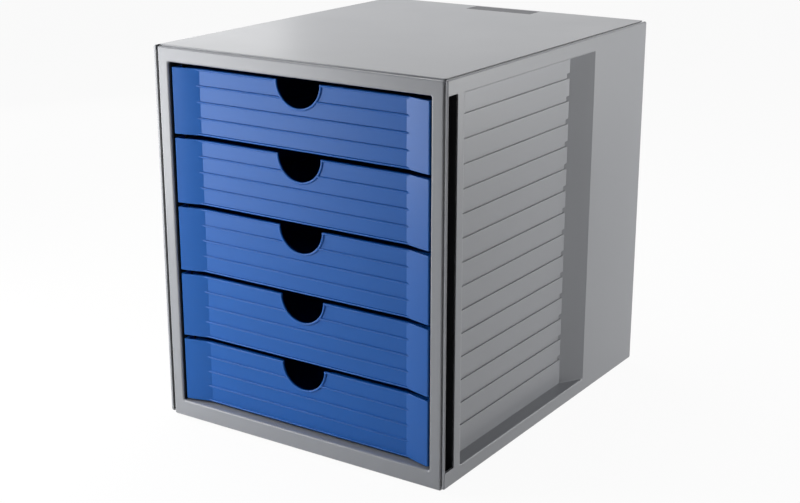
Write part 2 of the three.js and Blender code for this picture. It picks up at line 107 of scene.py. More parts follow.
class HousingSizes(bpy.types.PropertyGroup):
    """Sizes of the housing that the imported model's boxes don't give."""

    jamb: length("Width of the frame beside the drawers", 10.5)
    header: length("Height of the frame above the drawers", 11.7)
    sill: length("Height of the frame below the drawers", 14.5)
    frame_thickness: length("Thickness of the frame's face", 2.5)
    frame_round: length("Rounding of the frame's outer edges", 1.6)
    opening_round: length("Rounding of the edge round the drawers", 1.6)
    opening_undercut: length("How far the opening widens behind its edge", 1.35)
    flange: length("Thickness of the flanges behind sill and header", 2)
    lip: length("Thickness of the lips of top and base", 1.5)
    lip_corner: length("Corner radius of top and base", 2.2)
    lip_round: length("Edge rounding of top, base and rear", 0.5)
    lip_undercut: length("How far the top's lip slopes in below its edge", 1.5)
    slab_inset: length("From a lip's edge to the slab inside it", 2.3)
    side_plate: length("Thickness of a side panel", 2)
    side_corner: length("Corner radius of a side panel", 1.4)
    side_round: length("Rounding of a side panel's outer edge", 1.4)
    side_front_round: length("The same rounding at the front edge", 0.35)
    slot_front: length("Width of the web in front of the slot", 0.9)
    slot_width: length("Width of the slot behind the front edge", 12.5)
    slot_below: length("From a panel's lower edge to the slot", 13.5)
    slot_above: length("From the slot to a panel's upper edge", 11.5)
    slot_round: length("Rounding of the slot's outer edge", 0.25)
    slot_undercut: length("How far the slot widens behind its edge", 1.0)
    recess_offset: length("From the slot to the recess", 10.1)
    recess_length: length("Length of the recess along the side", 206)
    recess_below: length("From a panel's lower edge to the recess", 12.4)
    recess_above: length("From the recess to a panel's upper edge", 12.5)
    recess_depth: length("Depth of the recess", 11.5)
    recess_draft: length("How far the recess narrows inwards", 1)
    recess_slope: length("Run of the recess's slanted rear wall", 20.5)
    recess_round: length("Rounding of the recess's edge", 1.2)
    recess_corner: length("Corner radius of the recess", 1.5)
    groove_count: bpy.props.IntProperty(
        description="Number of grooves in the recess's floor", default=14, min=0, max=15)
    groove_pitch: length("From one groove to the next", 19)
    groove_height: length("Height of a groove", 4.6)
    groove_depth: length("Depth of a groove in the floor", 1.2)
    groove_start: length("From the recess's lower edge to a groove", 23)
    # The runner walls' black lip in the groove beside the frame is painted shade: a dark part put
    # where the groove is only in shadow.
    shade_lip_setback: length("How far back the lip beside the frame lies", 0.35)
    rear_field_margin: length("Width of the rim round the rear field", 22)
    rear_field_depth: length("Depth of the rear field", 1)
    plate_pocket: length("Depth of the pocket for the plate", 1)
    foot_socket: length("Depth of the socket for a foot", 1.5)


class DrawerSizes(bpy.types.PropertyGroup):
    """Sizes of a drawer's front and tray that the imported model's boxes don't give."""

    hollow_depth: length("How far a front's middle lies back", 6)
    hollow_end: length("Width of the sloping zone at each end", 24)
    bulge: length("Swelling of the sloping zones", 0.35)
    thickness: length("Thickness of the middle of a front", 4)
    top_wall: length("Thickness of a front at its upper edge", 1.2)
    end_round: length("Rounding of a front's upright edges", 1.3)
    edge_round: length("Rounding of a front's long edges", 0.4)
    bead_count: bpy.props.IntProperty(
        description="Number of beads on a front", default=5, min=2, max=9)
    bead_height: length("Height of a bead", 1.8)
    bead_proud: length("How far a bead stands out of the front", 1.1)
    notch_radius: length("Radius of the half-round finger notch", 20.5)
    notch_edge: length("Thickness of the front at the notch's edge", 0.5)
    notch_undercut: length("How much wider the notch is behind its edge", 5)
    rim: length("Width of the raised rim round the notch", 2)
    tongue_width: length("Width of a clip tongue", 12)
    tongue_thickness: length("Thickness of a clip tongue", 2)
    tongue_offset: length("From the middle to a clip tongue", 70)
    tongue_gap: length("Clearance of a tongue in the tray", 0.3)
    tray_wall: length("Thickness of a tray's walls and floor", 2)
    tray_corner: length("Corner radius of a tray", 2.5)
    lug_length: length("Length of the lug at each side of a tray", 6)
    lug_height: length("Height of a lug", 12)
    lug_rise: length("From a tray's underside to a lug", 10)
    lug_margin: length("From a lug to the tray's rear", 42.2)
    lug_reach: length("How far a lug stands out of the tray", 2.2)


class Finishes(bpy.types.PropertyGroup):
    """Colours and gloss of the finishes."""

    housing: colour("Colour of the housing's plastic", "#94969b")
    drawer: colour("Colour of the drawers' plastic", "#0f57a6")
    # The inner side walls are black plastic, and this near-black also stands in for the shadow
    # inside the housing: partly painted shade.
    runner: colour("Colour of the inner side walls", "#141518")
    plate: colour("Colour of the plate in the top", "#5a5b60")
    rubber: colour("Colour of the feet", "#1c1c1e")
    floor: colour("Colour of the studio's floor", "#f2f2f0")
    housing_roughness: level("Roughness of the housing's plastic", 0.30)
    drawer_roughness: level("Roughness of the drawers' plastic", 0.37)


class StudioSettings(bpy.types.PropertyGroup):
    """Lamps and camera of the studio."""

    key: level("Power of the lamp close by at the front left", 3.6, 99)
    right: level("Power of the lamp at the right", 6.4, 99)
    rear: level("Power of the lamp at the rear right", 2.6, 99)
    left: level("Power of the lamp that the top's left end reflects", 1.38, 99)
    top: level("Power of the lamp above", 7.6, 99)
    front: level("Power of the lamp close to the floor in front", 0.4, 99)
    paper: level("Power of the lamp that lights the paper in front", 1.2, 99)
    ambient: level("Strength of the light from all round", 0.02, 10)
    backdrop: level("Brightness of the backdrop that the camera sees", 1.0, 10)
    ceiling: level("Share of the backdrop's brightness left above", 0.15)
    glow_share: level("How far the camera sees the floor glow", 0.95)
    lens: level("Focal length in millimetres on a 36 mm sensor", 65.73, 300)


# Mesh helpers. A loop is a list of edges that close a ring.

def rectangle_loop(bm, sides, height, radius=0.0, grow=0.0):
    """Adds the outline of a rectangle with rounded corners at one height, as a loop."""
    left, right, bottom, top = sides
    known = set(bm.faces)
    places = (
        (left - grow, bottom - grow), (right + grow, bottom - grow),
        (right + grow, top + grow), (left - grow, top + grow))
    corners = [bm.verts.new((x, y, height)) for x, y in places]
    bmesh.ops.contextual_create(bm, geom=corners)
    if radius > 0:
        bmesh.ops.bevel(
            bm, geom=corners, offset=radius, offset_type="OFFSET", segments=ARC_STEPS, profile=0.5,
            affect="VERTICES", material=-1)
    return opened(bm, known)


def polygon_loop(bm, places, height):
    """Adds the outline of a polygon at one height, as a loop."""
    verts = [bm.verts.new((x, y, height)) for x, y in places]
    return [bm.edges.new(pair) for pair in zip(verts, verts[1:] + verts[:1])]


def circle_loop(bm, place, height, radius, steps):
    """Adds a circle at one height, as a loop."""
    known = set(bm.faces)
    bmesh.ops.create_circle(
        bm, cap_ends=True, radius=radius, segments=steps,
        matrix=Matrix.Translation((*place, height)))
    return opened(bm, known)


def opened(bm, known):
    """Takes away the one face that isn't known yet, and gives its edges."""
    (face,) = set(bm.faces) - known
    edges = face.edges[:]
    bmesh.ops.delete(bm, geom=[face], context="FACES_ONLY")
    return edges


def quarter_round(radius):
    """Steps along a quarter round, as pairs: how far in from the side, how far below the face."""
    angles = [math.pi / 2 * step / ARC_STEPS for step in range(ARC_STEPS + 1)]
    return [(radius * (1 - math.cos(a)), radius * (1 - math.sin(a))) for a in angles]


def rounded_rim(bm, sides, face, radius, corner):
    """The loops of a rectangle's outer edge, which is rounded towards its face."""
    return [
        rectangle_loop(bm, sides, face - drop, corner - inset / 2, -inset)
        for inset, drop in quarter_round(radius)]


def loft(bm, loops):
    """Walls from each loop to the next."""
    for near, far in zip(loops, loops[1:]):
        bmesh.ops.bridge_loops(bm, edges=near + far)


def cap(bm, *loops):
    """A flat face inside the first loop, with the other loops as its holes."""
    if len(loops) == 1:
        bmesh.ops.contextual_create(bm, geom=loops[0])
    else:
        bmesh.ops.triangle_fill(bm, use_beauty=True, edges=sum(loops, []))


def prism(places, low, high):
    """A polygon that is drawn up from one height to another, as a mesh of its own."""
    bm = bmesh.new()
    plan = [polygon_loop(bm, places, height) for height in (low, high)]
    loft(bm, plan)
    for loop in plan:
        cap(bm, loop)
    return bm


def of_kind(parts, kind):
    """Those mesh parts that are vertices, or those that are faces."""
    return [part for part in parts if isinstance(part, kind)]


def with_parts(faces):
    """The faces with their edges and vertices, each one once and always in the same order."""
    return list(dict.fromkeys(part for face in faces for part in (face, *face.edges, *face.verts)))


def draw_out(bm, faces, offset):
    """Extrudes faces as one region and moves them."""
    made = bmesh.ops.extrude_face_region(bm, geom=with_parts(faces))["geom"]
    bmesh.ops.translate(bm, vec=offset, verts=of_kind(made, bmesh.types.BMVert))


def cut_at(bm, geom, axis, place):
    """Cuts new edges where a plane across one axis passes through the given mesh parts."""
    normal = Vector((0, 0, 0))
    normal[axis] = 1
    return bmesh.ops.bisect_plane(
        bm, geom=geom, dist=TINY, plane_co=normal * place, plane_no=normal)["geom"]


def block(low, high):
    """A box between two corners, as a mesh of its own."""
    bm = bmesh.new()
    low, high = Vector(low), Vector(high)
    place = Matrix.LocRotScale((low + high) / 2, None, high - low)
    bmesh.ops.create_cube(bm, size=1.0, matrix=place)
    return bm


def turned(outline, centre, axis, steps):
    """A solid that is turned from the points of its outline, as a mesh of its own."""
    bm = bmesh.new()
    verts = [bm.verts.new(place) for place in outline]
    edges = [bm.edges.new(pair) for pair in zip(verts, verts[1:])]
    bmesh.ops.spin(
        bm, geom=verts + edges, cent=centre, axis=axis, angle=2 * math.pi, steps=steps,
        use_merge=True)
    bmesh.ops.remove_doubles(bm, verts=bm.verts, dist=TINY)
    return bm


def notch_cutter(profile, height):
    """A bar along Y, turned from pairs of radius and Y at one height."""
    outline = [(radius, y, height) for radius, y in profile]
    return turned(outline, (0, 0, height), (0, 1, 0), NOTCH_STEPS)


def add_object(name, data):
    """A new object in the scene."""
    made = bpy.data.objects.new(name, data)
    bpy.context.scene.collection.objects.link(made)
    return made


def add_mesh_object(name, bm):
    """A new object in the scene that takes over the mesh."""
    mesh = bpy.data.meshes.new(name)
    bm.to_mesh(mesh)
    bm.free()
    return add_object(name, mesh)


def combined(bm, other, operation):
    """The union or the difference of two closed meshes, which are both used up."""
    for part in (bm, other):
        bmesh.ops.recalc_face_normals(part, faces=part.faces)
    objects = [add_mesh_object("part", part) for part in (bm, other)]
    modifier = objects[0].modifiers.new("combine", "BOOLEAN")
    modifier.operation = operation
    modifier.solver = "EXACT"
    modifier.object = objects[1]
    evaluated = objects[0].evaluated_get(bpy.context.evaluated_depsgraph_get())
    made = bmesh.new()
    made.from_mesh(evaluated.to_mesh())
    evaluated.to_mesh_clear()
    for part in objects:
        mesh = part.data
        bpy.data.objects.remove(part)
        bpy.data.meshes.remove(mesh)
    return made


def place_piece(
        bm, node, body, slot, material, turn=FROM_ABOVE, sharp=30.0, bevel=0.0, kind="moulding"):
    """Makes the mesh a piece that rides on its body and stands for its CAD node."""
    bmesh.ops.transform(bm, matrix=turn, verts=bm.verts)
    bmesh.ops.remove_doubles(bm, verts=bm.verts, dist=TINY)
    bmesh.ops.recalc_face_normals(bm, faces=bm.faces)
    piece = add_mesh_object(f"{node}_{kind}", bm)
    piece.data.materials.append(material)
    piece.data.shade_smooth()
    piece.data.set_sharp_from_angle(angle=math.radians(sharp))
    if bevel:
        edges = piece.modifiers.new("soft edges", "BEVEL")
        edges.limit_method = "ANGLE"
        edges.angle_limit = math.radians(sharp)
        edges.width = bevel
        edges.segments = 2
    normals = piece.modifiers.new("flat faces stay flat", "WEIGHTED_NORMAL")
    normals.keep_sharp = True
    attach(piece, body)
    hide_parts(node)


def place_in_drawers(bm, part, slot, material, **edges):
    """Places a copy of the mesh, which is made for the first drawer, in each drawer."""
    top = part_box(f"{part}_1")[1].z
    for number in DRAWERS:
        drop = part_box(f"{part}_{number}")[1].z - top
        place_piece(
            bm.copy(), f"{part}_{number}", f"drawer_{number}", slot, material,
            Matrix.Translation((0, 0, drop)), **edges)
    bm.free()


# Materials

def add_node(tree, kind, inputs=(), **options):
    """Adds a shader node, sets its options, and fills or links its inputs."""
    node = tree.nodes.new("ShaderNode" + kind)
    for name, value in options.items():
        setattr(node, name, value)
    for name, value in dict(inputs).items():
        if isinstance(value, bpy.types.NodeSocket):
            tree.links.new(value, node.inputs[name])
        else:
            node.inputs[name].default_value = value
    return node


def finish_of(name, wire):
    """The material of a name. If it is new, wire makes its surface from the piece's coordinates."""
    material = bpy.data.materials.get(name)
    if not material:
        material = bpy.data.materials.new(name)
        material.use_nodes = True
        tree = material.node_tree
        tree.nodes.clear()
        place = add_node(tree, "TexCoord").outputs["Object"]
        surface = wire(tree, place)
        add_node(tree, "OutputMaterial", {"Surface": surface})
    return material


def tinted(tree, factor, colour_value, darkest, lightest):
    """A colour that varies between two shades of itself."""
    shades = [(*[min(1.0, c * share) for c in colour_value], 1.0) for share in (darkest, lightest)]
    colours = {"Factor": factor, "A": shades[0], "B": shades[1]}
    return add_node(tree, "Mix", colours, data_type="RGBA").outputs["Result"]


def noise(tree, place, width, detail, roughness=0.5):
    """Cloudy noise, whose forms have a given width."""
    return add_node(tree, "TexNoise", {
        "Vector": place, "Scale": 1 / width, "Detail": detail, "Roughness": roughness
    }).outputs["Fac"]


def relief(tree, height, depth, strength):
    """The normals of a relief that is too fine for the mesh."""
    return add_node(tree, "Bump", {
        "Strength": strength, "Distance": depth, "Height": height}).outputs["Normal"]


def principled(tree, inputs):
    """A surface with the given inputs."""
    return add_node(tree, "BsdfPrincipled", inputs).outputs["BSDF"]


def moulded_plastic(name, colour_value, roughness, grain, grain_depth, flow, tone, specular=0.5):
    """Injection-moulded plastic: an even colour, the fine grain of its mould, faint flow marks."""
    def wire(tree, place):
        flow_marks = noise(tree, place, flow, 2.0)
        gloss = add_node(tree, "MapRange", {
            "Value": flow_marks, "From Min": 0.3, "From Max": 0.7,
            "To Min": roughness - GLOSS_CHANGE, "To Max": roughness + GLOSS_CHANGE})
        # The grain of a real mould is about 0.3 mm wide. It is drawn coarser, or it wouldn't show.
        spark_grain = noise(tree, place, grain, 2.0, 0.6)
        return principled(tree, {
            "Base Color": tinted(tree, flow_marks, colour_value, 1 - tone, 1 + tone),
            "Roughness": gloss.outputs["Result"],
            "Normal": relief(tree, spark_grain, grain_depth, 0.1),
            "IOR": 1.5, "Specular IOR Level": specular})

    return finish_of(name, wire)


def housing_plastic(scene):
    """Light grey polystyrene with a satin spark-eroded grain, which keeps reflections soft."""
    finish = scene.finishes
    return moulded_plastic(
        "satin_moulded_polystyrene_light_grey", finish.housing, finish.housing_roughness,
        grain=1.6 * MM, grain_depth=0.02 * MM, flow=70 * MM, tone=0.015)


def drawer_plastic(scene):
    """Blue polystyrene from a smoother mould, with a little more sheen than the housing."""
    finish = scene.finishes
    return moulded_plastic(
        "smooth_moulded_polystyrene_blue", finish.drawer, finish.drawer_roughness,
        grain=0.9 * MM, grain_depth=0.012 * MM, flow=45 * MM, tone=0.03, specular=0.28)


def runner_plastic(scene):
    """Black polypropylene, which is a little waxy where the drawers slide on it. Its black is also
    painted shade: where the walls line the opening behind the frame and show through the gaps, it
    stands in for the shadow inside the housing.
    """
    return moulded_plastic(
        "moulded_polypropylene_black", scene.finishes.runner, 0.5,
        grain=0.8 * MM, grain_depth=0.015 * MM, flow=30 * MM, tone=0.1)


def plate_finish(scene):
    """Dark grey anodised aluminium, brushed along the plate, so highlights draw into streaks."""
    def wire(tree, place):
        # Strokes of about 20 mm by 0.25 mm along the plate.
        stretched = add_node(tree, "Mapping", {
            "Vector": place, "Scale": (1 / (20 * MM), 1 / (0.25 * MM), 1.0)})
        strokes = noise(tree, stretched.outputs["Vector"], 1.0, 4.0, 0.6)
        return principled(tree, {
            "Base Color": tinted(tree, strokes, scene.finishes.plate, 0.85, 1.15),
            "Metallic": 0.6, "Roughness": 0.45,
            "Normal": relief(tree, strokes, 0.01 * MM, 0.4)})

    return finish_of("brushed_anodised_aluminium_dark_grey", wire)


def rubber_finish(scene):
    """Black moulded rubber, dull and dusty, with a blasted mould's pits drawn coarser than life."""
    def wire(tree, place):
        pits = add_node(tree, "TexVoronoi", {"Vector": place, "Scale": 1 / (0.9 * MM)})
        dust = noise(tree, place, 6 * MM, 4.0)
        return principled(tree, {
            "Base Color": tinted(tree, dust, scene.finishes.rubber, 0.8, 1.5),
            "Roughness": 0.85, "IOR": 1.52,
            "Normal": relief(tree, pits.outputs["Distance"], 0.05 * MM, 0.5)})

    return finish_of("moulded_rubber_black", wire)


def studio_ray(tree):
    """1 for the rays that should see the white studio: camera, glossy and transmission rays."""
    path = add_node(tree, "LightPath").outputs
    seen = path["Is Camera Ray"]
    for kind in ("Is Glossy Ray", "Is Transmission Ray"):
        seen = add_node(tree, "Math", {0: seen, 1: path[kind]}, operation="MAXIMUM").outputs[0]
    return seen


def floor_finish(scene):
    """Matt white paper. For the camera it glows in part, so it stays white but keeps shadows."""
    def wire(tree, place):
        fibres = noise(tree, place, 2 * MM, 3.0)
        paper = add_node(tree, "BsdfDiffuse", {
            "Color": (*scene.finishes.floor, 1.0),
            "Normal": relief(tree, fibres, 0.02 * MM, 0.1)})
        glow = add_node(tree, "Emission", {"Color": WHITE, "Strength": scene.studio.backdrop})
        share = add_node(
            tree, "Math", {0: studio_ray(tree), 1: scene.studio.glow_share}, operation="MULTIPLY")
        return add_node(tree, "MixShader", {
            0: share.outputs[0], 1: paper.outputs[0], 2: glow.outputs[0]}).outputs[0]

    return finish_of("matt_paper_white", wire)


# Pieces

class Builder:
    """What the operators share: each one builds its pieces in the scene."""

    def execute(self, context):
        self.build(context.scene)
        return {"FINISHED"}


def slab_sides(low, high, inset):
    """The sides of the slab inside a lip, which ends in front of the rear panel."""
    rear_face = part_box("rear_panel")[0].y
    return (low.x + inset, high.x - inset, low.y + SEAM, rear_face - SEAM)


class FILEDRAWER_OT_front_frame(Builder, bpy.types.Operator):
    """Builds the frame round the drawers, with its rounded edges and its two flanges"""

    bl_idname = "file_drawer.front_frame"
    bl_label = "Front frame"

    def build(self, scene):
        sizes = scene.housing_sizes
        low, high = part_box("front_frame")
        face = -low.y
        back = face - sizes.frame_thickness
        sides = (low.x, high.x, low.z, high.z)
        opening = (
            low.x + sizes.jamb, high.x - sizes.jamb, low.z + sizes.sill, high.z - sizes.header)
        bm = bmesh.new()
        outer = [rectangle_loop(bm, sides, back, sizes.frame_round)]
        outer += rounded_rim(bm, sides, face, sizes.frame_round, sizes.frame_round)
        inner = [
            rectangle_loop(bm, opening, face - drop, sizes.opening_round + grow / 2, grow)
            for grow, drop in reversed(quarter_round(sizes.opening_round))]
        # Behind its edge the opening widens, so that its wall doesn't show beside the dark inside.
        wide = sizes.opening_undercut
        wider = (opening[0] - wide, opening[1] + wide, opening[2], opening[3])
        inner.append(rectangle_loop(bm, wider, back, sizes.opening_round))
        loft(bm, outer)
        loft(bm, inner)
        cap(bm, outer[-1], inner[0])

        long_edges = [e for e in inner[-1] if abs(e.verts[0].co.x - e.verts[1].co.x) > sizes.jamb]
        long_edges.sort(key=lambda edge: edge.verts[0].co.y)
        rim = [e for e in inner[-1] if e not in long_edges]
        roots = []
        for edge, direction in zip(long_edges, (-1, 1)):
            made = bmesh.ops.extrude_edge_only(bm, edges=[edge])["geom"]
            bmesh.ops.translate(
                bm, vec=(0, direction * sizes.flange, 0), verts=of_kind(made, bmesh.types.BMVert))
            (root,) = of_kind(made, bmesh.types.BMFace)
            roots.append(root)
            rim += [e for e in root.edges if e != edge]
        cap(bm, outer[0], rim)
        for root in roots:
            draw_out(bm, [root], (0, 0, -high.y - back))
        place_piece(
            bm, "front_frame", "housing", "housing_grey", housing_plastic(scene), FROM_FRONT)


class FILEDRAWER_OT_top_panel(Builder, bpy.types.Operator):
    """Builds the top: a thin lip over a thicker slab, with a pocket for the plate"""

    bl_idname = "file_drawer.top_panel"
    bl_label = "Top panel"

    def build(self, scene):
        sizes = scene.housing_sizes
        low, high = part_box("top_panel")
        sides = (low.x, high.x, low.y, high.y)
        lip_under = high.z - sizes.lip
        bm = bmesh.new()
        # The lip's sides slope in below its rounded edge, so that the grooves beside it stay dark.
        slope = sizes.lip_undercut
        foot = (low.x + slope, high.x - slope, low.y, high.y)
        outer = [rectangle_loop(bm, foot, lip_under, sizes.lip_corner)]
        outer += rounded_rim(bm, sides, high.z, sizes.lip_round, sizes.lip_corner)
        plate_low, plate_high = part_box("top_plate")
        plate = (plate_low.x, plate_high.x, plate_low.y, plate_high.y)
        pocket = [
            rectangle_loop(bm, plate, height, SEAM * 3, SEAM)
            for height in (high.z, high.z - sizes.plate_pocket)]
        slab_outline = slab_sides(low, high, sizes.slab_inset)
        slab = [rectangle_loop(bm, slab_outline, height) for height in (lip_under, low.z)]
        for loops in (outer, pocket, slab):
            loft(bm, loops)
        cap(bm, outer[-1], pocket[0])
        cap(bm, pocket[-1])
        cap(bm, outer[0], slab[0])
        cap(bm, slab[-1])
        place_piece(bm, "top_panel", "housing", "housing_grey", housing_plastic(scene))


class FILEDRAWER_OT_base_panel(Builder, bpy.types.Operator):
    """Builds the base: a lip, a thicker slab inside it and a socket for each foot"""

    bl_idname = "file_drawer.base_panel"
    bl_label = "Base panel"

    def build(self, scene):
        sizes = scene.housing_sizes
        low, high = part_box("base_panel")
        sides = (low.x, high.x, low.y, high.y)
        lip_top = low.z + sizes.lip
        bm = bmesh.new()
        outer = [
            rectangle_loop(bm, sides, low.z + drop, sizes.lip_corner - inset / 2, -inset)
            for inset, drop in reversed(quarter_round(sizes.lip_round))]
        outer.append(rectangle_loop(bm, sides, lip_top, sizes.lip_corner))
        slab_outline = slab_sides(low, high, sizes.slab_inset)
        slab = [rectangle_loop(bm, slab_outline, height) for height in (lip_top, high.z)]
        mouths = []
        for name in FEET:
            foot_low, foot_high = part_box(name)
            middle = (foot_low + foot_high) / 2
            radius = (foot_high.x - foot_low.x) / 2 + SEAM
            socket = [
                circle_loop(bm, middle.xy, height, radius, FOOT_STEPS)
                for height in (low.z, low.z + sizes.foot_socket)]
            loft(bm, socket)
            cap(bm, socket[-1])
            mouths.append(socket[0])
        loft(bm, outer)
        loft(bm, slab)
        cap(bm, outer[0], *mouths)
        cap(bm, outer[-1], slab[0])
        cap(bm, slab[-1])
        place_piece(bm, "base_panel", "housing", "housing_grey", housing_plastic(scene))


class FILEDRAWER_OT_rear_panel(Builder, bpy.types.Operator):
    """Builds the rear panel with its shallow field"""

    bl_idname = "file_drawer.rear_panel"
    bl_label = "Rear panel"

    def build(self, scene):
        sizes = scene.housing_sizes
        low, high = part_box("rear_panel")
        sides = (low.x, high.x, low.z, high.z)
        bm = bmesh.new()
        outer = [rectangle_loop(bm, sides, low.y, sizes.lip_corner)]
        outer += rounded_rim(bm, sides, high.y, sizes.lip_round, sizes.lip_corner)
        field_corner = 8 * MM
        field = [
            rectangle_loop(bm, sides, high.y - drop, field_corner, grow - sizes.rear_field_margin)
            for grow, drop in reversed(quarter_round(sizes.rear_field_depth))]
        loft(bm, outer)
        loft(bm, field)
        cap(bm, outer[-1], field[0])
        cap(bm, field[-1])
        cap(bm, outer[0])
        place_piece(
            bm, "rear_panel", "housing", "housing_grey", housing_plastic(scene), FROM_REAR)


def add_grooves(bm, sizes, bottom, floor, ends):
    """Cuts the recess's floor across and sinks the grooves, whose ends go on with the walls."""

    def level_faces():
        return [f for f in bm.faces if all(abs(v.co.z - floor) < TINY for v in f.verts)]

    for groove in range(sizes.groove_count):
        near = bottom + sizes.groove_start + groove * sizes.groove_pitch
        far = near + sizes.groove_height
        for place in (near, far):
            cut_at(bm, with_parts(level_faces()), 1, place)
        draw_out(
            bm, [f for f in level_faces() if near < f.calc_center_median().y < far],
            (0, 0, -sizes.groove_depth))
    middle = sum(ends) / 2
    for vert in bm.verts:
        if vert.co.z < floor - TINY:
            vert.co.x = min(ends) if vert.co.x < middle else max(ends)


def flange_loops(bm, inner, low, high):
    """The flange inside the panel, along its top, rear and bottom."""
    margin, rear_margin, web_rear = 7.5 * MM, 3.5 * MM, 18 * MM
    thick, reach = 2 * MM, 9.5 * MM
    near, far = low.y + web_rear + SEAM, high.y - rear_margin
    bottom, top = low.z + margin, high.z - margin
    places = (
        (near, bottom), (far, bottom), (far, top), (near, top), (near, top - thick),
        (far - thick, top - thick), (far - thick, bottom + thick), (near, bottom + thick))
    return [polygon_loop(bm, places, height) for height in (inner, inner - reach)]


def side_mesh(sizes):
    """The panel as seen from its own side: local X is the CAD model's Y, local Y its Z."""
    low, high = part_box("right_side_panel")
    face = high.x
    inner = face - sizes.side_plate
    sides = (low.y, high.y, low.z, high.z)
    slot_near = low.y + sizes.slot_front
    slot_far = slot_near + sizes.slot_width
    slot_sides = (slot_near, slot_far, low.z + sizes.slot_below, high.z - sizes.slot_above)
    near = slot_far + sizes.recess_offset
    far = near + sizes.recess_length - sizes.recess_round
    bottom = low.z + sizes.recess_below
    top = high.z - sizes.recess_above
    floor = face - sizes.recess_depth
    wall_end = face - sizes.recess_round

    def recess_sides(height):
        """The recess narrows from its edge down to its floor."""
        share = (wall_end - height) / (wall_end - floor)
        draft = sizes.recess_draft * share
        return (near + draft, far - sizes.recess_slope * share, bottom + draft, top - draft)

    bm = bmesh.new()
    corner = sizes.recess_corner
    floor_loop = rectangle_loop(bm, recess_sides(floor), floor, corner)
    mouth = recess_sides(wall_end)
    steepness = sizes.recess_slope / (wall_end - floor)
    upper = []
    for grow, drop in quarter_round(sizes.recess_round):
        # The slanted wall goes straight on to the face. Only the other edges are rounded.
        slanted = mouth[1] - grow + steepness * (sizes.recess_round - drop)
        outline = (mouth[0] - grow, slanted, *mouth[2:])
        upper.append(rectangle_loop(bm, outline, face - drop, corner, grow))
    loft(bm, [floor_loop, *upper])
    cap(bm, floor_loop)
    add_grooves(bm, sizes, bottom, floor, recess_sides(floor - sizes.groove_depth)[:2])

    wall = sizes.side_plate
    shell = [
        rectangle_loop(bm, recess_sides(wall_end), inner, corner, wall),
        rectangle_loop(bm, recess_sides(floor), floor - wall, corner, wall)]
    outer = [rectangle_loop(bm, sides, inner, sizes.side_corner)]
    front_share = sizes.side_front_round / sizes.side_round
    for inset, drop in quarter_round(sizes.side_round):
        shrunk = (low.y + inset * front_share, high.y - inset, low.z + inset, high.z - inset)
        outer.append(rectangle_loop(bm, shrunk, face - drop, sizes.side_corner - inset / 2))
    slot_corner = 1 * MM
    slot = [
        rectangle_loop(bm, slot_sides, face - drop, slot_corner, grow)
        for grow, drop in reversed(quarter_round(sizes.slot_round))]
    # Behind its edge the slot widens, so that its far wall doesn't show beside the dark inside.
    slot.append(rectangle_loop(bm, slot_sides, face - 2 * sizes.slot_round, slot_corner))
    slot_wider = (slot_near, slot_far + sizes.slot_undercut, *slot_sides[2:])
    slot.append(rectangle_loop(bm, slot_wider, inner, slot_corner))
    flange = flange_loops(bm, inner, low, high)
    for loops in (shell, outer, slot, flange):
        loft(bm, loops)
    cap(bm, outer[-1], slot[0], upper[-1])
    cap(bm, outer[0], slot[-1], shell[0], flange[0])
    cap(bm, shell[-1])
    cap(bm, flange[-1])
    return bm


class FILEDRAWER_OT_side_panels(Builder, bpy.types.Operator):
    """Builds both side panels: plate, slot, grooved recess and inner flange"""

    bl_idname = "file_drawer.side_panels"
    bl_label = "Side panels"

    def build(self, scene):
        for side, turn in (("right", FROM_RIGHT), ("left", FROM_LEFT)):
            place_piece(
                side_mesh(scene.housing_sizes), f"{side}_side_panel", "housing", "side_panel_grey",
                housing_plastic(scene), turn, sharp=20.0)


